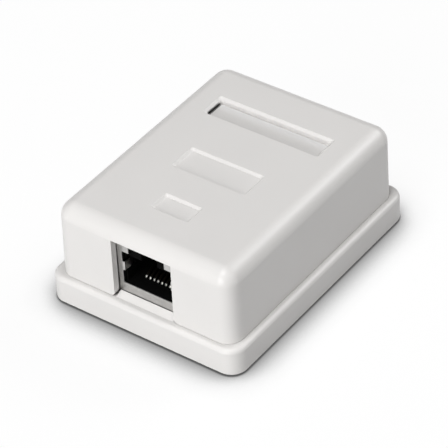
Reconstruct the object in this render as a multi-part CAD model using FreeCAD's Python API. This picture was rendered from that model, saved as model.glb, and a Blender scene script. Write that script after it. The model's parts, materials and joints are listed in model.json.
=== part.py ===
"""Surface mount jack box: a shielded eight-way socket in a two-part moulded housing.

Millimetres. +X is right seen from the front, +Y runs to the rear, +Z is up.
The origin is the centre of the base's underside; the socket faces -Y.
"""
import FreeCAD, Part
import math
import os

V = FreeCAD.Vector

# ---- base -------------------------------------------------------------------------
base_width = 48.5
base_length = 64.0
base_corner_r = 3.8
rim_height = 6.75            # top of the ledge that the cover stands on
rim_seat = 0.25              # how far the solid rim reaches in under the cover's wall
rim_round = 1.05             # rounded outer edge of the ledge
foot_chamfer = 0.5           # round the base's underside
floor_t = 2.0
lip_wall = 1.2               # locating lip inside the cover's walls
lip_height = 3.1             # how far the lip stands above the ledge
rest_rib_t = 1.2             # ribs between rim and lip that carry the cover's walls
rest_rib_pitch = 10.5

# ---- cover ------------------------------------------------------------------------
ledge = 1.7                  # ledge left showing round the cover
cover_height = 18.05         # from the ledge to the top face
cover_edge_r = 3.65          # rounding of the upright corners and all round the top
cover_wall = 1.55
cover_top_t = 2.0
cover_draft = 0.25           # each wall leans in by this over the cover's height
cover_lip_gap = 0.2          # between the cover's walls and the base's lip
inner_chamfer = 1.1          # inside, between walls and top

# ---- snap beads on the cover, windows in the base's lip -----------------------------
bead_length = 8.0
bead_proud = 0.55
bead_above_ledge = 1.3       # middle of the bead above the ledge
bead_half_height = 0.45
bead_flat = 0.2              # height of the bead's crest
bead_offset = 13.0           # from the middle, along each long side
bead_window_gap = 0.3
jack_lip_gap = 0.6           # socket's side to the end of the base's lip
knockout_lip_gap = 2.0       # knock-out's side to the end of the base's lip

# ---- socket opening in the cover -------------------------------------------------------
opening_width = 15.2
opening_height = 14.8        # from the ledge
opening_foot_r = 1.0         # rounding where the opening's sides meet the ledge

# ---- recesses in the top ----------------------------------------------------------
recess_depth = 0.55
recess_corner_r = 0.7
logo_recess = (18.75, 7.5)   # across, along
logo_recess_y = -2.86
grip_recess = (9.5, 5.45)
grip_recess_y = -17.28
label_recess = (29.7, 6.75)
label_recess_y = 15.48
label_floor_t = 1.2          # cover's thickness under the label's pocket
label_pad_border = 1.4

# ---- label window and card ------------------------------------------------------------
window_t = 0.8
window_corner_r = 0.5
window_gap = 0.06            # between the window's front and right edges and its pocket
window_rear_gap = 0.14
window_pry_gap = 0.3         # at the left end, where a nail gets under the window
window_pry_corner = 1.0      # corner cut off the window so that it can be prised out
card_t = 0.2
card_margin = 0.4
label_stack_gap = 0.02

# ---- circuit board ----------------------------------------------------------------
pcb_t = 1.6
pcb_top = 7.0                # height above the underside
pcb_front_width = 20.0
pcb_rear_width = 32.4
pcb_step_back = 17.2         # board's front edge to its wide part
pcb_tail = 4.9               # board behind the terminal blocks
pcb_lip_gap = 0.25
pcb_corner_r = 0.8

# ---- socket: standard eight-way geometry ---------------------------------------------
jack_width = 16.0
jack_height = 13.6
jack_depth = 18.0
jack_wall_gap = 0.33         # cover's front wall to the socket's face, at the ledge
sheet_t = 0.25
sheet_bend_r = 0.45
shield_body_gap = 0.05
port_half = 6.33             # shield window, half width
port_floor = 2.9             # above the board
port_shoulder = 11.2
port_key_half = 4.58
port_top = 12.9
plug_half = 5.95
plug_height = 7.0
latch_half = 3.2
latch_top = 12.0
latch_neck_half = 2.0
latch_neck_depth = 3.0
cavity_depth = 10.95
lead_in_depth = 1.0
lead_in_margin = 0.12

# ---- side ground springs of the shield -------------------------------------------------
spring_low = 6.2             # above the board
spring_high = 8.4
spring_reach = 3.3           # behind the face
spring_crest = 1.8           # behind the face, where it stands furthest into the port
spring_fold = 0.4            # how far its fold stands into the port
spring_in = 0.55             # how far its crest stands into the port
spring_relax = 0.45          # how far its tip turns back
spring_root = 0.35           # outside the port's edge
spring_room = 0.3            # round it, in the socket's moulding

# ---- contacts -------------------------------------------------------------------------
contact_count = 8
contact_pitch = 1.016
contact_width = 0.44
contact_t = 0.3
contact_bend_r = 0.4
contact_front = 3.9          # behind the face, where the contacts turn back
contact_run_height = 1.45    # lower run above the board
contact_tip_back = 11.9
contact_tip_height = 6.4     # above the board
pin_row_front = 9.9          # behind the face
pin_row_step = 2.54
pin_below_board = 1.0
contact_slot_gap = 0.08
contact_rise = -0.05         # front bend above the port's floor
comb_slot_above = 1.2        # slots in the comb, above the contacts' tips
comb_foot_height = 0.6       # room over the contacts' lower runs

# ---- socket's pegs and shield legs --------------------------------------------------------
peg_r = 1.6
peg_x = 5.72
peg_back = 8.6
peg_below_board = 0.5
peg_gap = 0.06
leg_width = 1.2
leg_back = 11.5
leg_below_board = 1.2

# ---- terminal blocks ------------------------------------------------------------------
idc_count = 8
idc_pitch = 4.2
idc_block_width = 6.2
idc_block_edge = 4.4         # blocks' middle to the board's side edge
idc_block_height = 10.6
idc_block_gap = 1.6          # behind the board's step
idc_fin_t = 2.7
idc_fin_point = 1.5
idc_end_trim = 0.6           # how much narrower the two end fins are
idc_slot_depth = 6.2
blade_t = 0.5
blade_width = 3.0
blade_height = 8.4
blade_slot = 0.36
blade_slot_depth = 5.0
blade_pin_width = 0.6
blade_mouth = 0.9            # half width of the slot's mouth
blade_corner = 0.3
blade_clearance = 0.08
solder_gap = 0.02            # round each tail in the board

# ---- fixings ---------------------------------------------------------------------------
screw_r = 1.1
screw_head_r = 2.0
screw_head_t = 1.3
screw_length = 5.0
screw_edge = 3.2             # screw's axis to the board's side edge
screw_rear_margin = 2.3      # screw's axis to the board's rear edge
screw_thread_gap = 0.03
screw_board_gap = 0.2
pillar_r = 2.3
screw_recess_arm = 1.1       # cross recess: from the axis to the end of an arm
screw_recess_half = 0.25
screw_recess_floor = 0.45    # above the board
rest_x = 7.2                 # blocks on the floor that carry the board's front end
rest_width = 2.4
rest_length = 4.0
wall_hole_r = 2.1
wall_hole_x = 14.5
wall_hole_front_y = -17.8    # the rear pair stands beside the floor's cable way

# ---- cable ways and clip ----------------------------------------------------------------
floor_way = (12.0, 8.0)      # cable way through the floor
floor_way_gap = 2.3          # board's rear edge to the way
floor_way_r = 1.5
knockout_width = 9.0
knockout_height = 9.0
knockout_groove = 0.8
knockout_web = 0.5
pry_notch_width = 6.0
pry_notch_depth = 1.3
pry_notch_x = 14.5
clip_t = 0.4
clip_bore = 6.4              # cable's screen
clip_length = 5.0
clip_rear_margin = 3.5       # clip's middle to the board's rear edge
clip_flange = 2.0
clip_tab_width = 1.2
holddown_rib_t = 1.2
holddown_rib_x = 5.0
holddown_rib_length = 12.0
holddown_rib_back = 3.0      # its front end behind the socket's face
holddown_gap = 0.2

# ---- places worked out from the sizes above -------------------------------------------------
base_half_x = base_width / 2
base_half_y = base_length / 2
cover_half_x = base_half_x - ledge
cover_half_y = base_half_y - ledge
cover_inner_x = cover_half_x - cover_wall
cover_inner_y = cover_half_y - cover_wall
lip_half_x = cover_inner_x - cover_lip_gap
lip_half_y = cover_inner_y - cover_lip_gap
inner_corner_r = cover_edge_r - cover_wall
lip_corner_r = inner_corner_r - cover_lip_gap
lip_top = rim_height + lip_height
cover_top = rim_height + cover_height
draft_slope = cover_draft / cover_height

face_y = -cover_inner_y + jack_wall_gap
jack_rear_y = face_y + jack_depth
jack_top = pcb_top + jack_height
opening_half = opening_width / 2
opening_top = rim_height + opening_height

pcb_bottom = pcb_top - pcb_t
pcb_front_y = -lip_half_y + lip_wall + pcb_lip_gap
pcb_step_y = pcb_front_y + pcb_step_back

idc_per_block = idc_count // 2
idc_block_x = pcb_rear_width / 2 - idc_block_edge
screw_x = pcb_rear_width / 2 - screw_edge
idc_block_length = idc_per_block * idc_pitch + idc_fin_t - 2 * idc_end_trim
idc_block_y0 = pcb_step_y + idc_block_gap
idc_block_mid_y = idc_block_y0 + idc_block_length / 2
idc_block_top = pcb_top + idc_block_height

pcb_rear_y = idc_block_y0 + idc_block_length + pcb_tail
screw_y = pcb_rear_y - screw_rear_margin
clip_y = pcb_rear_y - clip_rear_margin
clip_half = clip_bore / 2 + clip_t / 2
clip_tab_x = clip_half + clip_flange
floor_way_y = pcb_rear_y + floor_way_gap + floor_way[1] / 2

window_top = cover_top - recess_depth
pocket_floor = window_top - window_t - card_t - label_stack_gap
pocket_half_x = label_recess[0] / 2 - recess_depth
pocket_half_y = label_recess[1] / 2 - recess_depth
bead_z = rim_height + bead_above_ledge


# ---- small tools ------------------------------------------------------------------------
def block(x0, x1, y0, y1, z0, z1):
    """Box between two corners."""
    return Part.makeBox(x1 - x0, y1 - y0, z1 - z0, V(x0, y0, z0))


def rod(x, y, z0, z1, radius):
    """Upright cylinder."""
    return Part.makeCylinder(radius, z1 - z0, V(x, y, z0))


def rounded_wire(half_x, half_y, radius, z, cx=0.0, cy=0.0):
    """Level rectangle with rounded corners."""
    corners = [(1, -1), (1, 1), (-1, 1), (-1, -1)]
    arcs = []
    for quarter, (sx, sy) in enumerate(corners):
        centre = V(cx + sx * (half_x - radius), cy + sy * (half_y - radius), z)
        start = math.radians(90 * quarter - 90)
        arcs.append([centre + V(radius * math.cos(a), radius * math.sin(a), 0)
                     for a in (start, start + math.pi / 4, start + math.pi / 2)])
    edges = []
    for here, following in zip(arcs, arcs[1:] + arcs[:1]):
        edges.append(Part.Arc(*here).toShape())
        edges.append(Part.LineSegment(here[2], following[0]).toShape())
    return Part.Wire(edges)


def rounded_slab(half_x, half_y, radius, z0, z1, cx=0.0, cy=0.0):
    """Upright block with rounded corners."""
    face = Part.Face(rounded_wire(half_x, half_y, radius, z0, cx, cy))
    return face.extrude(V(0, 0, z1 - z0))


def drafted_block(half_x, half_y, z0, z1, slope, cx=0.0, cy=0.0):
    """Block whose walls lean in by slope per millimetre of height; sizes are at z0."""
    lean = (z1 - z0) * slope
    reach_x, reach_y = half_x + abs(lean), half_y + abs(lean)
    across = [V(cx - half_x, cy - reach_y, z0), V(cx + half_x, cy - reach_y, z0),
              V(cx + half_x - lean, cy - reach_y, z1), V(cx - half_x + lean, cy - reach_y, z1)]
    along = [V(cx - reach_x, cy - half_y, z0), V(cx - reach_x, cy + half_y, z0),
             V(cx - reach_x, cy + half_y - lean, z1), V(cx - reach_x, cy - half_y + lean, z1)]
    return polygon_prism(across, V(0, 2 * reach_y, 0)).common(
        polygon_prism(along, V(2 * reach_x, 0, 0)))


def polygon_prism(points, extrusion):
    """Straight-sided outline, extruded."""
    return Part.Face(Part.makePolygon(points + points[:1])).extrude(extrusion)


def bent_strip(points, place, thickness, bend_r, extrusion):
    """Strip of even thickness folded along a path, extruded to its width.

    points is the centre line in a plane, place turns a point of that plane into space,
    and bend_r is the centre line's radius at each fold.
    """
    sides = {1: [], -1: []}

    def offset(point, normal, side):
        return place(point[0] + side * normal[0] * thickness / 2,
                     point[1] + side * normal[1] * thickness / 2)

    runs = []
    for a, b in zip(points, points[1:]):
        length = math.hypot(b[0] - a[0], b[1] - a[1])
        along = ((b[0] - a[0]) / length, (b[1] - a[1]) / length)
        runs.append((along, (-along[1], along[0])))
    for side in sides:
        start = offset(points[0], runs[0][1], side)
        for (before, n1), (after, n2), corner in zip(runs, runs[1:], points[1:-1]):
            turn = math.atan2(before[0] * after[1] - before[1] * after[0],
                              before[0] * after[0] + before[1] * after[1])
            back = bend_r * math.tan(abs(turn) / 2)
            p1 = (corner[0] - before[0] * back, corner[1] - before[1] * back)
            p2 = (corner[0] + after[0] * back, corner[1] + after[1] * back)
            sense = 1 if turn > 0 else -1
            centre = (p1[0] + sense * n1[0] * bend_r, p1[1] + sense * n1[1] * bend_r)
            radius = bend_r - sense * side * thickness / 2
            mid = (corner[0] - centre[0], corner[1] - centre[1])
            reach = math.hypot(mid[0], mid[1])
            middle = place(centre[0] + mid[0] / reach * radius, centre[1] + mid[1] / reach * radius)
            enter, leave = offset(p1, n1, side), offset(p2, n2, side)
            sides[side].append(Part.LineSegment(start, enter).toShape())
            sides[side].append(Part.Arc(enter, middle, leave).toShape())
            start = leave
        end = offset(points[-1], runs[-1][1], side)
        sides[side].append(Part.LineSegment(start, end).toShape())
    ends = [Part.LineSegment(offset(points[i], runs[i][1], 1),
                             offset(points[i], runs[i][1], -1)).toShape() for i in (0, -1)]
    outline = Part.Wire(Part.__sortEdges__(sides[1] + sides[-1] + ends))
    return Part.Face(outline).extrude(extrusion)


def level_edges(shape, z):
    """Edges that lie in the level plane at z."""
    return [e for e in shape.Edges
            if abs(e.BoundBox.ZMin - z) < 1e-6 and abs(e.BoundBox.ZMax - z) < 1e-6]


def upright_edges(shape, z0, z1):
    """Edges that run from z0 up to z1."""
    return [e for e in shape.Edges
            if abs(e.BoundBox.ZMin - z0) < 1e-6 and abs(e.BoundBox.ZMax - z1) < 1e-6]


def behind(distance):
    """Y of a point this far behind the socket's face."""
    return face_y + distance


def save(name, shape):
    shape.exportStep("parts/%s.step" % name)


# ---- base -------------------------------------------------------------------------------
def opening_tool(half, y0, y1):
    """Socket opening as a solid: upright sides that flare where they meet the ledge."""
    r = opening_foot_r
    foot = rim_height
    mid = r * (1 - math.sqrt(0.5))

    def at(x, z):
        return V(x, y0, z)
    corners = [at(half, foot + r), at(half, opening_top), at(-half, opening_top),
               at(-half, foot + r)]
    edges = [Part.LineSegment(a, b).toShape() for a, b in zip(corners, corners[1:])]
    edges.append(Part.Arc(at(-half, foot + r), at(-half - mid, foot + mid),
                          at(-half - r, foot)).toShape())
    below = [at(-half - r, foot), at(-half - r, foot - 2), at(half + r, foot - 2), at(half + r, foot)]
    edges += [Part.LineSegment(a, b).toShape() for a, b in zip(below, below[1:])]
    edges.append(Part.Arc(at(half + r, foot), at(half + mid, foot + mid),
                          at(half, foot + r)).toShape())
    return Part.Face(Part.Wire(edges)).extrude(V(0, y1 - y0, 0))


def rest_ribs(channel):
    """Short ribs across the channel between rim and lip, and a filled stretch under the
    socket's opening."""
    strips = []
    along = int((base_half_y - base_corner_r) // rest_rib_pitch)
    for i in range(-along, along + 1):
        y = i * rest_rib_pitch
        strips.append(block(-base_half_x, base_half_x, y - rest_rib_t / 2, y + rest_rib_t / 2,
                            floor_t, rim_height))
    for x in (-1.5 * rest_rib_pitch, 1.5 * rest_rib_pitch):
        strips.append(block(x - rest_rib_t / 2, x + rest_rib_t / 2, -base_half_y, base_half_y,
                            floor_t, rim_height))
    filled = opening_half + opening_foot_r + rest_rib_t
    strips.append(block(-filled, filled, -base_half_y, 0, floor_t, rim_height))
    return channel.common(strips[0].fuse(strips[1:]))


def base():
    tray = rounded_slab(base_half_x, base_half_y, base_corner_r, 0, rim_height)
    tray = tray.makeFillet(rim_round, level_edges(tray, rim_height))
    tray = tray.makeChamfer(foot_chamfer, level_edges(tray, 0))

    lip = rounded_slab(lip_half_x, lip_half_y, lip_corner_r, floor_t, lip_top)
    well = rounded_slab(lip_half_x - lip_wall, lip_half_y - lip_wall, lip_corner_r - lip_wall,
                        floor_t, lip_top)
    channel = rounded_slab(cover_half_x - rim_seat, cover_half_y - rim_seat,
                           cover_edge_r - rim_seat, floor_t, rim_height)
    channel = channel.cut(rounded_slab(lip_half_x, lip_half_y, lip_corner_r, floor_t, rim_height))
    ribs = rest_ribs(channel)
    tray = tray.cut(channel).fuse([lip, ribs]).cut(well)

    front_gap = jack_width / 2 + jack_lip_gap
    rear_gap = knockout_width / 2 + knockout_lip_gap
    cuts = [block(-front_gap, front_gap, -base_half_y, -lip_half_y + lip_wall + 0.1,
                  rim_height, lip_top + 1),
            block(-rear_gap, rear_gap, lip_half_y - lip_wall - 0.1, base_half_y,
                  rim_height, lip_top + 1),
            rounded_slab(floor_way[0] / 2, floor_way[1] / 2, floor_way_r, -1, floor_t + 1,
                         0, floor_way_y)]
    slot_half = bead_length / 2 + bead_window_gap
    slot_low = bead_z - bead_half_height - bead_window_gap
    slot_high = bead_z + bead_half_height + bead_window_gap
    for side in (-1, 1):
        for y in (-bead_offset, bead_offset):
            x0, x1 = sorted((side * (lip_half_x - lip_wall - 0.1), side * (lip_half_x + 0.1)))
            cuts.append(block(x0, x1, y - slot_half, y + slot_half, slot_low, slot_high))
        cuts.append(block(side * pry_notch_x - pry_notch_width / 2,
                          side * pry_notch_x + pry_notch_width / 2,
                          cover_half_y - 0.2, base_half_y + 1,
                          rim_height - pry_notch_depth, rim_height + 1))

    posts = []
    for side in (-1, 1):
        pillar = rod(side * screw_x, screw_y, floor_t, pcb_bottom, pillar_r)
        cuts.append(rod(side * screw_x, screw_y, floor_t - 1, pcb_bottom + 1,
                        screw_r + screw_thread_gap))
        rest = block(side * rest_x - rest_width / 2, side * rest_x + rest_width / 2,
                     pcb_front_y, pcb_front_y + rest_length, floor_t, pcb_bottom)
        posts += [pillar, rest]
        for y in (wall_hole_front_y, floor_way_y):
            cuts.append(rod(side * wall_hole_x, y, -1, floor_t + 1, wall_hole_r))
    return tray.fuse(posts).cut(cuts).removeSplitter()


# ---- cover ---------------------------------------------------------------------------
def cover_form(inset, z0, z1):
    """Block that follows the cover's drafted walls at the given inset, corners still sharp."""
    lean = (z0 - rim_height) * draft_slope
    return drafted_block(cover_half_x - inset - lean, cover_half_y - inset - lean, z0, z1,
                         draft_slope)


def recess_tool(size, y):
    """Shallow recess with walls at 45 degrees, as a solid that reaches above the top."""
    floor, above = cover_top - recess_depth, cover_top + 0.5
    tool = drafted_block(size[0] / 2 - recess_depth, size[1] / 2 - recess_depth, floor, above,
                         -1, 0, y)
    return tool.makeFillet(recess_corner_r, upright_edges(tool, floor, above))


def snap_bead(side, y):
    """Wedge on the inner face of the cover's side wall."""
    wall_x = cover_inner_x + 0.4
    tip_x = cover_inner_x - bead_proud
    profile = [V(side * wall_x, y - bead_length / 2, bead_z - bead_half_height),
               V(side * (cover_inner_x - 0.1), y - bead_length / 2, bead_z - bead_half_height),
               V(side * tip_x, y - bead_length / 2, bead_z - bead_flat / 2),
               V(side * tip_x, y - bead_length / 2, bead_z + bead_flat / 2),
               V(side * (cover_inner_x - 0.1), y - bead_length / 2, bead_z + bead_half_height),
               V(side * wall_x, y - bead_length / 2, bead_z + bead_half_height)]
    return polygon_prism(profile, V(0, bead_length, 0))


def knockout_groove_tool():
    """Arched groove inside the rear wall, round the piece that is broken out for a cable."""
    def arch(half, height):
        foot, spring = rim_height - 1, rim_height + height - half
        y = cover_inner_y - 1
        return Part.Face(Part.Wire([
            Part.LineSegment(V(half, y, foot), V(half, y, spring)).toShape(),
            Part.Arc(V(half, y, spring), V(0, y, spring + half), V(-half, y, spring)).toShape(),
            Part.LineSegment(V(-half, y, spring), V(-half, y, foot)).toShape(),
            Part.LineSegment(V(-half, y, foot), V(half, y, foot)).toShape()]))
    through = V(0, cover_wall + 2, 0)
    outer = arch(knockout_width / 2, knockout_height).extrude(through)
    inner = arch(knockout_width / 2 - knockout_groove, knockout_height - knockout_groove)
    ring = outer.cut(inner.extrude(through))
    skin = cover_form(knockout_web, rim_height - 1, cover_top)
    return ring.common(skin)


def cover():
    form = cover_form(0, rim_height, cover_top)
    form = form.makeFillet(cover_edge_r, upright_edges(form, rim_height, cover_top)
                           + level_edges(form, cover_top))
    inner_top = cover_top - cover_top_t
    hollow = cover_form(cover_wall, rim_height - 1, inner_top)
    hollow = hollow.makeFillet(inner_corner_r, upright_edges(hollow, rim_height - 1, inner_top))
    hollow = hollow.makeChamfer(inner_chamfer, level_edges(hollow, inner_top))

    pad_x, pad_y = pocket_half_x + label_pad_border, pocket_half_y + label_pad_border
    pad = block(-pad_x, pad_x, label_recess_y - pad_y, label_recess_y + pad_y,
                pocket_floor - label_floor_t, inner_top + 0.5)
    ribs = [pad]
    for side in (-1, 1):
        x = side * holddown_rib_x
        ribs.append(block(x - holddown_rib_t / 2, x + holddown_rib_t / 2,
                          behind(holddown_rib_back), behind(holddown_rib_back) + holddown_rib_length,
                          jack_top + holddown_gap, inner_top + 0.5))
        ribs += [snap_bead(side, y) for y in (-bead_offset, bead_offset)]

    pocket = rounded_slab(pocket_half_x, pocket_half_y, recess_corner_r, pocket_floor,
                          cover_top, 0, label_recess_y)
    cuts = [recess_tool(logo_recess, logo_recess_y), recess_tool(grip_recess, grip_recess_y),
            recess_tool(label_recess, label_recess_y), pocket, knockout_groove_tool(),
            opening_tool(opening_half, -base_half_y, -cover_inner_y + 1)]
    return form.cut(hollow).fuse(ribs).cut(cuts).removeSplitter()


def label_window():
    half_x = pocket_half_x - (window_gap + window_pry_gap) / 2
    half_y = pocket_half_y - (window_gap + window_rear_gap) / 2
    middle_x = (window_pry_gap - window_gap) / 2
    middle_y = label_recess_y + (window_gap - window_rear_gap) / 2
    pane = rounded_slab(half_x, half_y, window_corner_r, window_top - window_t, window_top,
                        middle_x, middle_y)
    x, y, c = middle_x - half_x, middle_y + half_y, window_pry_corner
    corner = polygon_prism([V(x - 1, y - c - 1, 0), V(x + c + 1, y + 1, 0), V(x - 1, y + 1, 0)],
                           V(0, 0, cover_top))
    return pane.cut(corner)


def label_card():
    half_x, half_y = pocket_half_x - card_margin, pocket_half_y - card_margin
    return block(-half_x, half_x, label_recess_y - half_y, label_recess_y + half_y,
                 pocket_floor, pocket_floor + card_t)


# ---- socket --------------------------------------------------------------------------
def contact_x(i):
    return (i - (contact_count - 1) / 2) * contact_pitch


def contact_pin_back(i):
    """Pins stand in two staggered rows."""
    return pin_row_front + (i % 2) * pin_row_step


def shield_spring(side):
    """Tongue cut from the sheet at the port's edge and folded into the port."""
    crest_x = port_half - spring_in
    path = [(port_half + spring_root, sheet_t / 2), (port_half - spring_fold, sheet_t / 2),
            (crest_x, spring_crest), (crest_x + spring_relax, spring_reach)]
    height = spring_high - spring_low
    return bent_strip(path, lambda u, v: V(side * u, behind(v), pcb_top + spring_low),
                      sheet_t * 0.8, sheet_t * 0.6, V(0, 0, height))


def jack_shield():
    half = jack_width / 2
    rear = behind(jack_depth)
    outer = block(-half, half, face_y, rear, pcb_top, jack_top)
    outer = outer.makeFillet(sheet_bend_r, level_edges(outer, jack_top))
    inner = block(-half + sheet_t, half - sheet_t, face_y + sheet_t, rear - sheet_t,
                  pcb_top - 1, jack_top - sheet_t)
    sheet = outer.cut(inner)
    port = block(-port_half, port_half, face_y - 1, face_y + 1, pcb_top + port_floor,
                 pcb_top + port_shoulder)
    key = block(-port_key_half, port_key_half, face_y - 1, face_y + 1,
                pcb_top + port_shoulder - 1, pcb_top + port_top)
    pieces = []
    for side in (-1, 1):
        x0, x1 = sorted((side * half, side * (half - sheet_t)))
        pieces.append(block(x0, x1, behind(leg_back) - leg_width / 2,
                            behind(leg_back) + leg_width / 2,
                            pcb_bottom - leg_below_board, pcb_top + 1))
        pieces.append(shield_spring(side))
    return sheet.cut([port, key]).fuse(pieces).removeSplitter()


def jack_housing():
    gap = sheet_t + shield_body_gap
    half = jack_width / 2 - gap
    rear = behind(jack_depth) - gap
    body = block(-half, half, face_y + gap, rear, pcb_top, jack_top - gap)
    floor = pcb_top + port_floor - lead_in_margin
    plug_top = floor + plug_height
    front = face_y - 1
    cuts = [
        block(-port_half + lead_in_margin, port_half - lead_in_margin, front,
              behind(lead_in_depth), floor, pcb_top + port_shoulder - lead_in_margin),
        block(-port_key_half + lead_in_margin, port_key_half - lead_in_margin, front,
              behind(lead_in_depth), plug_top, pcb_top + port_top - lead_in_margin),
        block(-plug_half, plug_half, front, rear + 1, floor, plug_top),
        block(-latch_neck_half, latch_neck_half, front, behind(latch_neck_depth),
              plug_top - 1, pcb_top + latch_top),
        block(-latch_half, latch_half, behind(latch_neck_depth), behind(cavity_depth),
              plug_top - 1, pcb_top + latch_top)]
    slot_half = contact_width / 2 + contact_slot_gap
    run_z = pcb_top + contact_run_height
    for i in range(contact_count):
        x, pin_y = contact_x(i), behind(contact_pin_back(i))
        cuts.append(block(x - slot_half, x + slot_half, behind(contact_front) - contact_t,
                          pin_y + contact_t, run_z - contact_t, floor + 1))
        cuts.append(block(x - slot_half, x + slot_half, pin_y - contact_t, pin_y + contact_t,
                          pcb_top - 1, run_z + 1))
    for side in (-1, 1):
        x0, x1 = sorted((side * (plug_half - 0.5), side * (port_half + spring_room)))
        cuts.append(block(x0, x1, front, behind(spring_reach + spring_room),
                          pcb_top + spring_low - spring_room, pcb_top + spring_high + spring_room))
    pegs = [rod(side * peg_x, behind(peg_back), pcb_bottom - peg_below_board, pcb_top + 0.5, peg_r)
            for side in (-1, 1)]
    return body.fuse(pegs).cut(cuts).removeSplitter()


def contact_carrier():
    """Comb at the back of the plug's cavity."""
    gap = shield_body_gap
    floor = pcb_top + port_floor - lead_in_margin
    rear = behind(jack_depth) - sheet_t - 2 * gap
    comb = block(-plug_half + gap, plug_half - gap, behind(cavity_depth), rear,
                 floor + gap, floor + plug_height - gap)
    slot_half = contact_width / 2 + contact_slot_gap
    slots = []
    for i in range(contact_count):
        x = contact_x(i)
        slots.append(block(x - slot_half, x + slot_half, behind(cavity_depth) - 1,
                           behind(contact_tip_back) + contact_t, floor,
                           pcb_top + contact_tip_height + comb_slot_above))
        slots.append(block(x - slot_half, x + slot_half, behind(cavity_depth) - 1,
                           behind(contact_pin_back(i)) + contact_t + 0.05, floor,
                           floor + comb_foot_height))
    return comb.cut(slots)


def contact_wire(i):
    """Pin, lower run and the spring arm that the plug's blade presses."""
    pin_back = contact_pin_back(i)
    run_z = pcb_top + contact_run_height
    turn_z = pcb_top + port_floor + contact_rise
    pin_y = behind(pin_back)
    path = [(pin_y, run_z), (behind(contact_front), run_z), (behind(contact_front), turn_z),
            (behind(contact_tip_back), pcb_top + contact_tip_height)]
    x = contact_x(i) - contact_width / 2
    arm = bent_strip(path, lambda u, v: V(x, u, v), contact_t, contact_bend_r,
                     V(contact_width, 0, 0))
    pin = block(x, x + contact_width, pin_y - contact_t / 2, pin_y + contact_t / 2,
                pcb_bottom - pin_below_board, run_z + contact_t / 2)
    return arm.fuse(pin).removeSplitter()


# ---- circuit board and terminals ----------------------------------------------------------
def pcb():
    """Stepped board; solder fills its holes round every tail."""
    front = rounded_slab(pcb_front_width / 2, (pcb_rear_y - pcb_front_y) / 2, pcb_corner_r,
                         pcb_bottom, pcb_top, 0, (pcb_rear_y + pcb_front_y) / 2)
    rear = rounded_slab(pcb_rear_width / 2, (pcb_rear_y - pcb_step_y) / 2, pcb_corner_r,
                        pcb_bottom, pcb_top, 0, (pcb_rear_y + pcb_step_y) / 2)
    low, high = pcb_bottom - 1, pcb_top + 1
    holes = []
    tails = [(contact_x(i), behind(contact_pin_back(i)), contact_width, contact_t)
             for i in range(contact_count)]
    tails += [blade_place(i) + (blade_t, blade_pin_width) for i in range(idc_count)]
    for side in (-1, 1):
        holes.append(rod(side * screw_x, screw_y, low, high, screw_r + screw_board_gap))
        holes.append(rod(side * peg_x, behind(peg_back), low, high, peg_r + peg_gap))
        tails.append((side * (jack_width - sheet_t) / 2, behind(leg_back), sheet_t, leg_width))
        tails.append((side * clip_tab_x, clip_y, clip_t, clip_tab_width))
    for x, y, across, along in tails:
        half_x, half_y = across / 2 + solder_gap, along / 2 + solder_gap
        holes.append(block(x - half_x, x + half_x, y - half_y, y + half_y, low, high))
    return front.fuse(rear).removeSplitter().cut(holes)


def blade_place(i):
    """Blades stand in two rows, one in each block."""
    side = -1 if i < idc_per_block else 1
    row = i % idc_per_block
    return side * idc_block_x, idc_block_mid_y + (row - (idc_per_block - 1) / 2) * idc_pitch


def idc_block(side):
    """Castellated terminal block with pointed fins between its wire slots."""
    x0 = side * idc_block_x - idc_block_width / 2
    y0, y1 = idc_block_mid_y - idc_block_length / 2, idc_block_mid_y + idc_block_length / 2
    slot_floor = idc_block_top - idc_slot_depth
    outline = [V(x0, y0, pcb_top), V(x0, y0, idc_block_top - idc_fin_point)]
    fin_half = idc_fin_t / 2
    for k in range(idc_per_block + 1):
        y = idc_block_mid_y + (k - idc_per_block / 2) * idc_pitch
        left, right = max(y - fin_half, y0), min(y + fin_half, y1)
        if k:
            outline += [V(x0, left, slot_floor), V(x0, left, idc_block_top - idc_fin_point)]
        outline.append(V(x0, (left + right) / 2, idc_block_top))
        outline.append(V(x0, right, idc_block_top - idc_fin_point))
        if k < idc_per_block:
            outline.append(V(x0, right, slot_floor))
    outline.append(V(x0, y1, pcb_top))
    body = polygon_prism(outline, V(idc_block_width, 0, 0))
    pockets = []
    for i in range(idc_count):
        x, y = blade_place(i)
        if x * side > 0:
            half_x, half_y = blade_t / 2 + blade_clearance, blade_width / 2 + blade_clearance
            pockets.append(block(x - half_x, x + half_x, y - half_y, y + half_y,
                                 pcb_top - 1, idc_block_top + 1))
    return body.cut(pockets)


def idc_blade(i):
    """Slotted plate that cuts through a wire's insulation, with a tail through the board."""
    x, y = blade_place(i)
    foot, top = pcb_top + 0.1, pcb_top + blade_height
    half, slot, tail = blade_width / 2, blade_slot / 2, blade_pin_width / 2
    slot_floor = top - blade_slot_depth
    shoulder, throat, tip = top - blade_corner, top - blade_mouth, pcb_bottom - pin_below_board
    outline = [(-half, foot), (-half, shoulder), (-blade_mouth, top), (-slot, throat),
               (-slot, slot_floor), (slot, slot_floor), (slot, throat), (blade_mouth, top),
               (half, shoulder), (half, foot), (tail, foot), (tail, tip), (-tail, tip),
               (-tail, foot)]
    return polygon_prism([V(x - blade_t / 2, y + u, z) for u, z in outline], V(blade_t, 0, 0))


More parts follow.
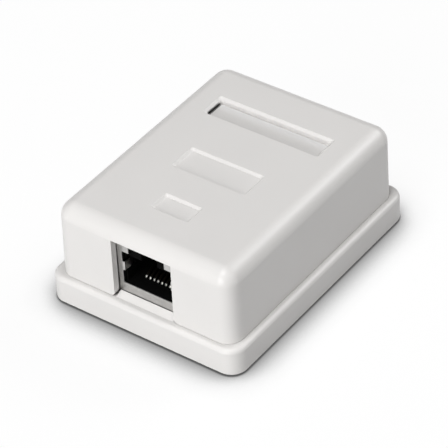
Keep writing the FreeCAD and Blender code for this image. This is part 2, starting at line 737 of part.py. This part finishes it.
def ground_clip():
    """Saddle that presses the cable's screen, with two tails through the board."""
    top = pcb_top + clip_bore + clip_t / 2
    foot = pcb_top + clip_t / 2
    path = [(-clip_tab_x - clip_tab_width / 2, foot), (-clip_half, foot), (-clip_half, top),
            (clip_half, top), (clip_half, foot), (clip_tab_x + clip_tab_width / 2, foot)]
    y0 = clip_y - clip_length / 2
    saddle = bent_strip(path, lambda u, v: V(u, y0, v), clip_t, 2 * clip_t, V(0, clip_length, 0))
    tails = [block(side * clip_tab_x - clip_t / 2, side * clip_tab_x + clip_t / 2,
                   clip_y - clip_tab_width / 2, clip_y + clip_tab_width / 2,
                   pcb_bottom - pin_below_board, foot) for side in (-1, 1)]
    return saddle.fuse(tails).removeSplitter()


def pcb_screw(side):
    """Pan-head thread-forming screw with a cross recess."""
    x = side * screw_x
    head = rod(x, screw_y, pcb_top, pcb_top + screw_head_t, screw_head_r)
    shank = rod(x, screw_y, pcb_top - screw_length + screw_head_t, pcb_top, screw_r)
    arm, slot = screw_recess_arm, screw_recess_half
    low, high = pcb_top + screw_recess_floor, pcb_top + screw_head_t + 1
    cross = [block(x - arm, x + arm, screw_y - slot, screw_y + slot, low, high),
             block(x - slot, x + slot, screw_y - arm, screw_y + arm, low, high)]
    return head.fuse(shank).cut(cross).removeSplitter()


def main():
    os.makedirs("parts", exist_ok=True)
    save("base", base())
    save("cover", cover())
    save("label_window", label_window())
    save("label_card", label_card())
    save("pcb", pcb())
    save("pcb_screws", Part.makeCompound([pcb_screw(side) for side in (-1, 1)]))
    save("jack_shield", jack_shield())
    save("jack_housing", jack_housing())
    save("contact_carrier", contact_carrier())
    for i in range(contact_count):
        save("contact_wire_%d" % (i + 1), contact_wire(i))
    save("idc_block_left", idc_block(-1))
    save("idc_block_right", idc_block(1))
    for i in range(idc_count):
        save("idc_blade_%d" % (i + 1), idc_blade(i))
    save("ground_clip", ground_clip())


main()
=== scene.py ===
"""Looks of a surface mount jack box: white moulded housing, shielded socket, label window.

Metres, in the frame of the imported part: +X right seen from the socket's end, +Y to the rear, +Z up.
"""
import bmesh
import bpy
import json
import math
from mathutils import Matrix, Vector


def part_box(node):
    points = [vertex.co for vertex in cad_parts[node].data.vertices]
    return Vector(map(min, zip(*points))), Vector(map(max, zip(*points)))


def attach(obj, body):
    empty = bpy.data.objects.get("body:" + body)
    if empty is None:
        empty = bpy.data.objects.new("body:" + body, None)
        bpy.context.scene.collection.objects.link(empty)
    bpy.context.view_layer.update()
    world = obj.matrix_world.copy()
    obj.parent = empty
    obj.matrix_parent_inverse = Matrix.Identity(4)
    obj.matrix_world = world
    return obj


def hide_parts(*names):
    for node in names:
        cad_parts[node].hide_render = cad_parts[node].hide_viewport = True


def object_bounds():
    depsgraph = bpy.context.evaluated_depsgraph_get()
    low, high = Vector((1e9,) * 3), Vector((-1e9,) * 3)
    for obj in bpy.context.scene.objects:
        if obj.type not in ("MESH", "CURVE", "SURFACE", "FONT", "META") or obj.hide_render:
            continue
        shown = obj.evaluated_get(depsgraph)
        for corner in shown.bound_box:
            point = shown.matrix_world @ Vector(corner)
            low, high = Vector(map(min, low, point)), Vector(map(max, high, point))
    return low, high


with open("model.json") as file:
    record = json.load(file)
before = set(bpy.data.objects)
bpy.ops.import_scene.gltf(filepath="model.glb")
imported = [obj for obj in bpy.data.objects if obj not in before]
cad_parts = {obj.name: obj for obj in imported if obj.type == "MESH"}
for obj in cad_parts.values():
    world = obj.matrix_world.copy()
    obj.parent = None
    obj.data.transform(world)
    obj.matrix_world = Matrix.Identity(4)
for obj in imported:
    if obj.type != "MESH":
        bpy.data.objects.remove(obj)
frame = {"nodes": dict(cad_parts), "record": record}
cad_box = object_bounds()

MM = 0.001
nodes = frame["nodes"]
slot_of = {part["node"]: part["material_slot"] for part in frame["record"]["subparts"]}
low, high = cad_box
middle = (low + high) / 2
window_low, window_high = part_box("label_window")
pry_end = window_low.x
cover_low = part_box("cover")[0]
contact_nose_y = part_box("contact_wire_4")[0].y
shield_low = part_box("jack_shield")[0]

# ---- sill under the socket, mm ------------------------------------------------------------------
OPENING_WIDTH = 15.2
OPENING_FOOT_R = 1.0
SILL_SIDE_GAP = 0.38        # to the opening's sides
SILL_GAP = 0.12             # to the socket's face
SILL_RISE = 0.8
SILL_EDGE_R = 0.1
SILL_FRONT_SHARE = 0.02     # of the rise, left at the ramp's front edge
SILL_STEPS = 6              # facets of each flared end
SUNK = 0.05                 # the ramp's front edge lies this far under the ledge

# ---- painted light and shade, and the floor's gap, mm -------------------------------------------
SLIT_REACH = 0.8            # a surface this near another one gets painted slit shade
LEDGE_REACH = 1.6           # how far out a wall throws painted shade on the ledge at its foot
RECESS_ZONE = (2.6, 2.2)    # depths: painted slit shade applies below the first, not above the second
SLOT_END = 0.2              # the painted slit shade at the window's left end goes on this far under the window
PRY_EDGE = (0.06, 0.42)     # painted shade at that end of the window: how far along and down
CARD_PAINTED_LIGHT = 3.2             # width of the pale strip along the card's rear
CONTACT_NOSE = (0.2, 0.45)  # the gold gives way to painted shade between these distances behind the nose
CONTACT_SHADOW = 0.6        # reach of the painted contact shadow where the base meets the floor
BOX_SHADOW = 9.0            # reach of the soft painted shadow round the base
FLOOR_GAP = 0.02


# ---- colours and nodes --------------------------------------------------------------------
def linear(code):
    """sRGB hex colour as linear RGBA."""
    channels = [int(code[i:i + 2], 16) / 255 for i in (1, 3, 5)]
    return [c / 12.92 if c <= 0.04045 else ((c + 0.055) / 1.055) ** 2.4 for c in channels] + [1.0]


def add(tree, kind, links=None, inputs=None, **settings):
    """Adds a node: links as {input: output}, inputs as {input: value}, settings by name."""
    node = tree.nodes.new(kind)
    for name, value in settings.items():
        setattr(node, name, value)
    for name, value in (inputs or {}).items():
        node.inputs[name].default_value = value
    for name, output in (links or {}).items():
        tree.links.new(output, node.inputs[name])
    return node


def empty_material(name):
    material = bpy.data.materials.new(name)
    material.use_nodes = True
    material.node_tree.nodes.clear()
    return material, material.node_tree


# ---- materials ------------------------------------------------------------------------------
def moulded_abs(name, deep, pale, ledge=False):
    """ABS from a spark-eroded mould: warm white, satin, with a fine grain. Painted shade, found by
    ambient occlusion, turns it near-black in narrow slits between mouldings. The shallow recesses
    on top are left out. With ledge, painted shade also darkens an upward-facing ledge a little
    at the foot of a wall.

    The real grain is about 0.1 mm; it is drawn at 0.35 mm so that it shows.
    """
    material, tree = empty_material(name)
    where = add(tree, "ShaderNodeTexCoord")
    grain = add(tree, "ShaderNodeTexNoise", {"Vector": where.outputs["Object"]},
                {"Scale": 1 / (0.35 * MM), "Detail": 3.0})
    flow = add(tree, "ShaderNodeTexNoise", {"Vector": where.outputs["Object"]},
               {"Scale": 1 / (14.0 * MM), "Detail": 1.0})
    tint = add(tree, "ShaderNodeMix", {0: flow.outputs["Fac"]},
               {6: linear(deep), 7: linear(pale)}, data_type="RGBA")
    # Painted shade: ambient occlusion turns slits near-black, except near the top, where only the
    # slot at the window's left end keeps it.
    room = add(tree, "ShaderNodeAmbientOcclusion", None, {"Distance": SLIT_REACH * MM}, samples=8)
    open_air = add(tree, "ShaderNodeMapRange", {"Value": room.outputs["AO"]},
                   {"From Min": 0.08, "From Max": 0.62})
    place = add(tree, "ShaderNodeSeparateXYZ", {"Vector": where.outputs["Object"]})
    on_top = add(tree, "ShaderNodeMapRange", {"Value": place.outputs["Z"]},
                 {"From Min": high.z - RECESS_ZONE[0] * MM,
                  "From Max": high.z - RECESS_ZONE[1] * MM})
    slot_end = add(tree, "ShaderNodeMath", {0: place.outputs["X"]}, {1: pry_end + SLOT_END * MM},
                   operation="GREATER_THAN")
    shallow = add(tree, "ShaderNodeMath", {0: on_top.outputs["Result"], 1: slot_end.outputs[0]},
                  operation="MULTIPLY")
    lit = add(tree, "ShaderNodeMath", {0: open_air.outputs["Result"], 1: shallow.outputs[0]},
              operation="MAXIMUM")
    # Painted shade: upward-facing ledge faces darken near a standing wall.
    if ledge:
        wall = add(tree, "ShaderNodeAmbientOcclusion", None, {"Distance": LEDGE_REACH * MM},
                   samples=8)
        kept = add(tree, "ShaderNodeMath", {0: wall.outputs["AO"]}, {1: 0.45}, operation="POWER")
        side = add(tree, "ShaderNodeNewGeometry")
        facing = add(tree, "ShaderNodeSeparateXYZ", {"Vector": side.outputs["Normal"]})
        upward = add(tree, "ShaderNodeMapRange", {"Value": facing.outputs["Z"]},
                     {"From Min": 0.6, "From Max": 0.95})
        level = add(tree, "ShaderNodeMapRange", {"Value": upward.outputs["Result"],
                                                 "To Max": kept.outputs[0]}, {"To Min": 1.0})
        lit = add(tree, "ShaderNodeMath", {0: lit.outputs[0], 1: level.outputs["Result"]},
                  operation="MULTIPLY")
    # 1c1b1a is the colour of the painted shade.
    painted_slit_shade_tint = add(tree, "ShaderNodeMix", {0: lit.outputs[0], 7: tint.outputs[2]},
                 {6: linear("#1c1b1a")}, data_type="RGBA")
    satin = add(tree, "ShaderNodeMapRange", {"Value": grain.outputs["Fac"]},
                {"To Min": 0.3, "To Max": 0.46})
    relief = add(tree, "ShaderNodeBump", {"Height": grain.outputs["Fac"]},
                 {"Strength": 0.5, "Distance": 0.006 * MM})
    shader = add(tree, "ShaderNodeBsdfPrincipled",
                 {"Base Color": painted_slit_shade_tint.outputs[2], "Roughness": satin.outputs["Result"],
                  "Normal": relief.outputs["Normal"]}, {"IOR": 1.53})
    add(tree, "ShaderNodeOutputMaterial", {"Surface": shader.outputs[0]})
    return material


def polished_acrylic():
    """Acrylic, injection moulded in a polished mould: clear, with a faintly wavy gloss.

    It is drawn as a thin plate, so the card behind is seen in its place. The upper edge of the end
    where a nail gets under the plate carries painted shade while it stands against the slot's end,
    and is clear once out.
    """
    material, tree = empty_material("clear_polished_acrylic")
    where = add(tree, "ShaderNodeTexCoord")
    wave = add(tree, "ShaderNodeTexNoise", {"Vector": where.outputs["Object"]},
               {"Scale": 1 / (9.0 * MM), "Detail": 1.0})
    polish = add(tree, "ShaderNodeMapRange", {"Value": wave.outputs["Fac"]},
                 {"To Min": 0.01, "To Max": 0.05})
    gloss = add(tree, "ShaderNodeBsdfAnisotropic", {"Roughness": polish.outputs["Result"]})
    through = add(tree, "ShaderNodeBsdfTransparent", None, {"Color": linear("#ffffff")})
    side = add(tree, "ShaderNodeNewGeometry")
    mirror = add(tree, "ShaderNodeFresnel", None, {"IOR": 1.49})
    outside = add(tree, "ShaderNodeMath", {1: side.outputs["Backfacing"]}, {0: 1.0},
                  operation="SUBTRACT")
    share = add(tree, "ShaderNodeMath", {0: mirror.outputs[0], 1: outside.outputs[0]},
                operation="MULTIPLY")
    plate = add(tree, "ShaderNodeMixShader", {0: share.outputs[0], 1: through.outputs[0],
                                              2: gloss.outputs[0]})
    place = add(tree, "ShaderNodeSeparateXYZ", {"Vector": where.outputs["Object"]})
    # Painted shade: the upper strip of the pry end turns dark where ambient occlusion finds the
    # slot's end near.
    pried = add(tree, "ShaderNodeMath", {0: place.outputs["X"]}, {1: pry_end + PRY_EDGE[0] * MM},
                operation="LESS_THAN")
    before = add(tree, "ShaderNodeAmbientOcclusion", None, {"Distance": SLIT_REACH * MM},
                 samples=8)
    behind = add(tree, "ShaderNodeAmbientOcclusion", None, {"Distance": SLIT_REACH * MM},
                 samples=8, inside=True)
    beyond = add(tree, "ShaderNodeMix", {0: side.outputs["Backfacing"], 2: before.outputs["AO"],
                                         3: behind.outputs["AO"]})
    shut = add(tree, "ShaderNodeMapRange", {"Value": beyond.outputs[0]},
               {"From Min": 0.9, "From Max": 0.6})
    upper = add(tree, "ShaderNodeMath", {0: place.outputs["Z"]},
                {1: window_high.z - PRY_EDGE[1] * MM}, operation="GREATER_THAN")
    edge = add(tree, "ShaderNodeMath", {0: pried.outputs[0], 1: upper.outputs[0]},
               operation="MULTIPLY")
    dim = add(tree, "ShaderNodeMath", {0: edge.outputs[0], 1: shut.outputs["Result"]},
              operation="MULTIPLY")
    # 3a3938 is the colour of the painted shade.
    dark = add(tree, "ShaderNodeBsdfDiffuse", None, {"Color": linear("#3a3938")})
    both = add(tree, "ShaderNodeMixShader", {0: dim.outputs[0], 1: plate.outputs[0],
                                             2: dark.outputs[0]})
    add(tree, "ShaderNodeOutputMaterial", {"Surface": both.outputs[0]})
    return material


def paper_card():
    """Uncoated card: matt, with short fibres about 0.4 mm long. It is painted paler towards the
    pocket's rear wall: painted light, where the clear plate would gather light.
    """
    material, tree = empty_material("uncoated_paper_card")
    where = add(tree, "ShaderNodeTexCoord")
    fibres = add(tree, "ShaderNodeTexNoise", {"Vector": where.outputs["Object"]},
                 {"Scale": 1 / (0.4 * MM), "Detail": 4.0, "Roughness": 0.7})
    paper = add(tree, "ShaderNodeMix", {0: fibres.outputs["Fac"]},
                {6: linear("#dad8d6"), 7: linear("#e2e0de")}, data_type="RGBA")
    place = add(tree, "ShaderNodeSeparateXYZ", {"Vector": where.outputs["Object"]})
    # Painted light: the card turns towards white near its rear edge.
    rear = add(tree, "ShaderNodeMapRange", {"Value": place.outputs["Y"]},
               {"From Min": window_high.y - CARD_PAINTED_LIGHT * MM, "From Max": window_high.y})
    painted_light_pool = add(tree, "ShaderNodeMath", {0: rear.outputs["Result"]}, {1: 2.0}, operation="POWER")
    tint = add(tree, "ShaderNodeMix", {0: painted_light_pool.outputs[0], 6: paper.outputs[2]},
               {7: linear("#ffffff")}, data_type="RGBA")
    relief = add(tree, "ShaderNodeBump", {"Height": fibres.outputs["Fac"]},
                 {"Strength": 0.4, "Distance": 0.008 * MM})
    shader = add(tree, "ShaderNodeBsdfPrincipled",
                 {"Base Color": tint.outputs[2], "Normal": relief.outputs["Normal"]},
                 {"Roughness": 0.85})
    add(tree, "ShaderNodeOutputMaterial", {"Surface": shader.outputs[0]})
    return material


def solder_masked_board():
    """Glass-epoxy board under green solder mask: glossy, with copper tracks standing out.

    Tracks are about 0.3 mm wide and 3 mm apart.
    """
    material, tree = empty_material("green_solder_masked_board")
    where = add(tree, "ShaderNodeTexCoord")
    tracks = add(tree, "ShaderNodeTexBrick", {"Vector": where.outputs["Object"]},
                 {"Color1": [0, 0, 0, 1], "Color2": [0.2, 0.2, 0.2, 1], "Mortar": [1, 1, 1, 1],
                  "Scale": 1 / (3.0 * MM), "Mortar Size": 0.06, "Mortar Smooth": 0.1,
                  "Brick Width": 1.6, "Row Height": 0.5})
    tint = add(tree, "ShaderNodeMix", {0: tracks.outputs["Color"]},
               {6: linear("#12482c"), 7: linear("#1d6a3f")}, data_type="RGBA")
    relief = add(tree, "ShaderNodeBump", {"Height": tracks.outputs["Color"]},
                 {"Strength": 0.8, "Distance": 0.035 * MM})
    shader = add(tree, "ShaderNodeBsdfPrincipled",
                 {"Base Color": tint.outputs[2], "Normal": relief.outputs["Normal"]},
                 {"Roughness": 0.28, "IOR": 1.55})
    add(tree, "ShaderNodeOutputMaterial", {"Surface": shader.outputs[0]})
    return material


def plated_metal(name, deep, pale, satin_range, line_mm, stretch, depth_mm):
    """Plated sheet or wire: rolling lines blur the shine, and the plating clouds its tone."""
    material, tree = empty_material(name)
    where = add(tree, "ShaderNodeTexCoord")
    rolled = add(tree, "ShaderNodeMapping", {"Vector": where.outputs["Object"]},
                 {"Scale": stretch})
    lines = add(tree, "ShaderNodeTexNoise", {"Vector": rolled.outputs["Vector"]},
                {"Scale": 1 / (line_mm * MM), "Detail": 3.0})
    cloud = add(tree, "ShaderNodeTexNoise", {"Vector": where.outputs["Object"]},
                {"Scale": 1 / (1.5 * MM), "Detail": 2.0})
    tint = add(tree, "ShaderNodeMix", {0: cloud.outputs["Fac"]},
               {6: linear(deep), 7: linear(pale)}, data_type="RGBA")
    satin = add(tree, "ShaderNodeMapRange", {"Value": lines.outputs["Fac"]},
                {"To Min": satin_range[0], "To Max": satin_range[1]})
    relief = add(tree, "ShaderNodeBump", {"Height": lines.outputs["Fac"]},
                 {"Strength": 0.5, "Distance": depth_mm * MM})
    shader = add(tree, "ShaderNodeBsdfPrincipled",
                 {"Base Color": tint.outputs[2], "Roughness": satin.outputs["Result"],
                  "Normal": relief.outputs["Normal"]}, {"Metallic": 1.0})
    add(tree, "ShaderNodeOutputMaterial", {"Surface": shader.outputs[0]})
    return material


def bronze_with_painted_shank_shade():
    """Phosphor bronze contact wire: pale gold flash on the nose, where a plug presses. Behind it the
    shank carries painted shade: a dull, dark colour.
    """
    material, tree = empty_material("gold_flashed_phosphor_bronze")
    where = add(tree, "ShaderNodeTexCoord")
    place = add(tree, "ShaderNodeSeparateXYZ", {"Vector": where.outputs["Object"]})
    # Painted shade: the colour turns dull and dark behind the nose.
    shank = add(tree, "ShaderNodeMapRange", {"Value": place.outputs["Y"]},
                {"From Min": contact_nose_y + CONTACT_NOSE[0] * MM,
                 "From Max": contact_nose_y + CONTACT_NOSE[1] * MM})
    cloud = add(tree, "ShaderNodeTexNoise", {"Vector": where.outputs["Object"]},
                {"Scale": 1 / (0.4 * MM), "Detail": 2.0})
    flash = add(tree, "ShaderNodeMix", {0: cloud.outputs["Fac"]},
                {6: linear("#faf7ee"), 7: linear("#fffefa")}, data_type="RGBA")
    tint = add(tree, "ShaderNodeMix", {0: shank.outputs["Result"], 6: flash.outputs[2]},
               {7: linear("#4b463c")}, data_type="RGBA")
    satin = add(tree, "ShaderNodeMapRange", {"Value": cloud.outputs["Fac"]},
                {"To Min": 0.24, "To Max": 0.34})
    shader = add(tree, "ShaderNodeBsdfPrincipled",
                 {"Base Color": tint.outputs[2], "Roughness": satin.outputs["Result"]},
                 {"Metallic": 1.0})
    add(tree, "ShaderNodeOutputMaterial", {"Surface": shader.outputs[0]})
    return material


def moulded_resin(name, deep, pale, roughness, specular):
    """Glass-filled nylon or polycarbonate, moulded: fine grain, glass shows as a faint haze."""
    material, tree = empty_material(name)
    where = add(tree, "ShaderNodeTexCoord")
    grain = add(tree, "ShaderNodeTexNoise", {"Vector": where.outputs["Object"]},
                {"Scale": 1 / (0.2 * MM), "Detail": 2.0})
    tint = add(tree, "ShaderNodeMix", {0: grain.outputs["Fac"]},
               {6: linear(deep), 7: linear(pale)}, data_type="RGBA")
    relief = add(tree, "ShaderNodeBump", {"Height": grain.outputs["Fac"]},
                 {"Strength": 0.5, "Distance": 0.008 * MM})
    shader = add(tree, "ShaderNodeBsdfPrincipled",
                 {"Base Color": tint.outputs[2], "Normal": relief.outputs["Normal"]},
                 {"Roughness": roughness, "IOR": 1.57, "Specular IOR Level": specular})
    add(tree, "ShaderNodeOutputMaterial", {"Surface": shader.outputs[0]})
    return material


UPRIGHT = [1, 1, 0.08]      # rolling lines run upright on the sheet
EVEN = [1, 1, 1]
finishes = {
    "abs_base": moulded_abs("moulded_white_abs_base", "#e2e0de", "#e7e5e3", ledge=True),
    "abs_cover": moulded_abs("moulded_white_abs_cover", "#e2e0de", "#e7e5e3"),
    "clear_window": polished_acrylic(),
    "label_card": paper_card(),
    "circuit_board": solder_masked_board(),
    "zinc_screw": plated_metal("zinc_plated_steel", "#b4b6b9", "#d2d4d7", (0.25, 0.4),
                               0.3, EVEN, 0.004),
    "tinned_shield": plated_metal("tinned_steel_sheet", "#b6b5b3", "#cfcecc", (0.22, 0.38),
                                  0.15, UPRIGHT, 0.004),
    "black_jack": moulded_resin("moulded_black_nylon", "#0b0b0b", "#101010", 0.5, 0.012),
    "gold_contact": bronze_with_painted_shank_shade(),
    "terminal_block": moulded_resin("moulded_white_polycarbonate", "#e0dfda", "#e9e8e3", 0.4, 0.5),
    "tinned_blade": plated_metal("tinned_bronze", "#c0beba", "#d6d4d0", (0.25, 0.4),
                                 0.2, EVEN, 0.003),
    "tinned_clip": plated_metal("tinned_spring_steel", "#b6b5b3", "#cfcecc", (0.25, 0.4),
                                0.2, EVEN, 0.003),
}
for name, node in nodes.items():
    node.data.materials.clear()
    node.data.materials.append(finishes[slot_of[name]])


# ---- pieces with softened edges, in place of the plain solids -----------------------------------
WELD = 0.0005               # mm: corners this near each other are one
FLAT_ANGLE = 0.6            # degrees: facets that differ by less are one face
SHARP_ANGLE = 25            # degrees: sharper edges get a radius


def rounded(piece, width_mm):
    """Gives sharp edges a moulding radius, and keeps broad faces flat."""
    radius = piece.modifiers.new("moulding_radius", "BEVEL")
    radius.width = width_mm * MM
    radius.segments = 2
    radius.limit_method = "ANGLE"
    radius.angle_limit = math.radians(SHARP_ANGLE)
    radius.use_clamp_overlap = True
    flat = piece.modifiers.new("flat_faces", "WEIGHTED_NORMAL")
    flat.mode = "FACE_AREA"
    flat.weight = 100


def as_piece(form, name, body, slot):
    """Turns a bmesh into a piece of the object that rides on a body."""
    for face in form.faces:
        face.smooth = True
    mesh = bpy.data.meshes.new(name)
    form.to_mesh(mesh)
    form.free()
    mesh.materials.append(finishes[slot])
    piece = bpy.data.objects.new(name, mesh)
    bpy.context.scene.collection.objects.link(piece)
    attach(piece, body)
    return piece


def softened(node_name, body, width_mm):
    """Copy of a solid whose sharp edges get a moulding radius."""
    form = bmesh.new()
    form.from_mesh(nodes[node_name].data)
    bmesh.ops.remove_doubles(form, verts=form.verts, dist=WELD * MM)
    bmesh.ops.dissolve_limit(form, angle_limit=math.radians(FLAT_ANGLE), verts=form.verts,
                             edges=form.edges)
    piece = as_piece(form, node_name + "_softened", body, slot_of[node_name])
    rounded(piece, width_mm)
    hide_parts(node_name)


def sill():
    """Ramp moulded on the base's ledge, at the foot of the socket's opening.

    Its ends curve outward at the foot like the opening's sides.
    """
    foot_z = cover_low.z
    front_y = cover_low.y
    back_y = shield_low.y - SILL_GAP * MM
    half = (OPENING_WIDTH / 2 - SILL_SIDE_GAP) * MM
    curve = OPENING_FOOT_R * MM
    rise = SILL_RISE * MM
    turn = math.acos(1 - rise / curve)
    corners = []
    for step in range(SILL_STEPS + 1):
        angle = turn * step / SILL_STEPS
        corners.append((half + curve * (1 - math.sin(angle)), curve * (1 - math.cos(angle))))
    outline = corners + [(-x, z) for x, z in reversed(corners)]
    ends = (outline[0][0], outline[-1][0])
    form = bmesh.new()
    front = [form.verts.new((x, front_y, foot_z - SUNK * MM + z * SILL_FRONT_SHARE))
             for x, z in outline]
    back = [form.verts.new((x, back_y, foot_z + z)) for x, z in outline]
    under = [form.verts.new((x, back_y, foot_z - 2 * SUNK * MM)) for x in ends]
    for i in range(len(outline) - 1):
        form.faces.new((front[i], front[i + 1], back[i + 1], back[i]))
    form.faces.new(back + [under[1], under[0]])
    form.faces.new((front[0], back[0], under[0]))
    form.faces.new((back[-1], front[-1], under[1]))
    form.faces.new([under[0], under[1]] + list(reversed(front)))
    bmesh.ops.recalc_face_normals(form, faces=form.faces)
    rounded(as_piece(form, "sill", "housing", "abs_base"), SILL_EDGE_R)


softened("cover", "cover_body", 0.16)
softened("base", "housing", 0.14)
softened("label_window", "window_body", 0.04)
softened("jack_shield", "housing", 0.06)
softened("jack_housing", "housing", 0.08)
softened("contact_carrier", "housing", 0.08)
softened("ground_clip", "housing", 0.06)
softened("pcb_screws", "housing", 0.08)
for side in ("left", "right"):
    softened("idc_block_" + side, "housing", 0.12)
for number in range(1, 9):
    softened("contact_wire_%d" % number, "housing", 0.05)
sill()

# ---- camera -------------------------------------------------------------------------------------
AZIMUTH, ELEVATION, ROLL = (math.radians(a) for a in (37.69, 39.13, -3.27))
LENS, SENSOR = 207.85, 36   # mm
DISTANCE = 547.85           # mm
AIM_SHIFT = (-1.09, -2.92)  # mm, to the right and up from the box's middle
back = Vector((math.sin(AZIMUTH) * math.cos(ELEVATION), -math.cos(AZIMUTH) * math.cos(ELEVATION),
               math.sin(ELEVATION)))
right = Vector((math.cos(AZIMUTH), math.sin(AZIMUTH), 0))
up = back.cross(right)
camera = bpy.data.objects.new("camera", bpy.data.cameras.new("camera"))
bpy.context.scene.collection.objects.link(camera)
camera.data.lens = LENS
camera.data.sensor_width = SENSOR
camera.data.clip_start, camera.data.clip_end = 0.05, 20
side = right * math.cos(ROLL) + up * math.sin(ROLL)
above = up * math.cos(ROLL) - right * math.sin(ROLL)
aim = middle + right * (AIM_SHIFT[0] * MM) + up * (AIM_SHIFT[1] * MM)
camera.matrix_world = Matrix.Translation(aim + back * (DISTANCE * MM)) @ Matrix(
    (side, above, back)).transposed().to_4x4()
bpy.context.scene.camera = camera


# ---- floor, light ----------------------------------------------------------------------------
def white_sweep():
    """White paper sweep: pure white where nothing is near, with a soft painted shadow and a darker
    painted contact shadow round the box, both from ambient occlusion.
    """
    material, tree = empty_material("white_paper_sweep")
    # Painted shadow: ambient occlusion sets the floor's tone round the box.
    near = add(tree, "ShaderNodeAmbientOcclusion", None, {"Distance": BOX_SHADOW * MM},
               samples=16)
    shade = add(tree, "ShaderNodeValToRGB", {"Fac": near.outputs["AO"]})
    stops = shade.color_ramp.elements
    stops[0].position, stops[0].color = 0.45, linear("#8c8c8c")
    stops[1].position, stops[1].color = 0.97, linear("#ffffff")
    for place, code in ((0.525, "#a2a2a2"), (0.6, "#b7b7b7"), (0.7, "#cfcfcf"), (0.8, "#ececec"),
                        (0.88, "#fafafa")):
        stops.new(place).color = linear(code)
    # Painted contact shadow along the base's foot.
    touch = add(tree, "ShaderNodeAmbientOcclusion", None, {"Distance": CONTACT_SHADOW * MM},
                samples=16)
    painted_contact_line = add(tree, "ShaderNodeMapRange", {"Value": touch.outputs["AO"]},
               {"From Min": 0.5, "From Max": 1.0, "To Min": 0.4, "To Max": 1.0})
    # tone is the painted shadow, seen by camera, glossy and transmission rays.
    tone = add(tree, "ShaderNodeMix", {6: shade.outputs["Color"], 7: painted_contact_line.outputs["Result"]},
               {0: 1.0}, data_type="RGBA", blend_type="MULTIPLY")
    path = add(tree, "ShaderNodeLightPath")
    seen_or_glossy = add(tree, "ShaderNodeMath", {0: path.outputs["Is Camera Ray"],
                                                  1: path.outputs["Is Glossy Ray"]},
                         operation="MAXIMUM")
    seen = add(tree, "ShaderNodeMath", {0: seen_or_glossy.outputs[0],
                                        1: path.outputs["Is Transmission Ray"]},
               operation="MAXIMUM")
    paper_tone = add(tree, "ShaderNodeMix", {0: seen.outputs[0], 7: tone.outputs[2]},
                     {6: linear("#bebebe")}, data_type="RGBA")
    paper = add(tree, "ShaderNodeBsdfDiffuse", {"Color": paper_tone.outputs[2]})
    glow = add(tree, "ShaderNodeEmission", {"Color": tone.outputs[2]}, {"Strength": 1.0})
    share = add(tree, "ShaderNodeMath", {0: seen.outputs[0]}, {1: 0.9}, operation="MULTIPLY")
    both = add(tree, "ShaderNodeMixShader", {0: share.outputs[0], 1: paper.outputs[0],
                                             2: glow.outputs[0]})
    add(tree, "ShaderNodeOutputMaterial", {"Surface": both.outputs[0]})
    return material


FLOOR_HALF = 3.0            # m
LAMP_DISTANCE = 1.2         # m

floor_mesh = bpy.data.meshes.new("floor")
floor_form = bmesh.new()
bmesh.ops.create_grid(floor_form, x_segments=8, y_segments=8, size=FLOOR_HALF)
floor_form.to_mesh(floor_mesh)
floor_form.free()
floor_mesh.materials.append(white_sweep())
floor = bpy.data.objects.new("floor", floor_mesh)
floor.location = (0, 0, low.z - FLOOR_GAP * MM)
bpy.context.scene.collection.objects.link(floor)


def softbox(name, azimuth, elevation, size, watts):
    """Square lamp that looks at the box's middle; azimuth 0 is before the socket."""
    lamp = bpy.data.lights.new(name, "AREA")
    lamp.shape, lamp.size, lamp.energy = "SQUARE", size, watts
    holder = bpy.data.objects.new(name, lamp)
    around, rise = math.radians(azimuth), math.radians(elevation)
    toward = Vector((math.sin(around) * math.cos(rise), -math.cos(around) * math.cos(rise),
                     math.sin(rise)))
    holder.location = middle + toward * LAMP_DISTANCE
    holder.rotation_mode = "QUATERNION"
    holder.rotation_quaternion = toward.to_track_quat("Z", "Y")
    bpy.context.scene.collection.objects.link(holder)


softbox("front", 0, 22, 0.6, 4.8)
softbox("low_front", 12, 10, 0.5, 4.0)
softbox("overhead", 0, 66, 0.6, 8.6)
softbox("rear_right", 155, 35, 0.5, 5.2)
softbox("rear", 170, 45, 0.5, 0.8)

world = bpy.data.worlds.new("studio")
bpy.context.scene.world = world
world.use_nodes = True
studio = world.node_tree
studio.nodes.clear()
path = add(studio, "ShaderNodeLightPath")
seen = add(studio, "ShaderNodeMath", {0: path.outputs["Is Camera Ray"],
                                      1: path.outputs["Is Transmission Ray"]},
           operation="MAXIMUM")
room = add(studio, "ShaderNodeBackground", None, {"Color": [1, 1, 1, 1], "Strength": 0.02})
plain = add(studio, "ShaderNodeBackground", None, {"Color": [1, 1, 1, 1], "Strength": 1.0})
both = add(studio, "ShaderNodeMixShader", {0: seen.outputs[0], 1: room.outputs[0],
                                           2: plain.outputs[0]})
add(studio, "ShaderNodeOutputWorld", {"Surface": both.outputs[0]})

bpy.context.scene.view_settings.view_transform = "Standard"
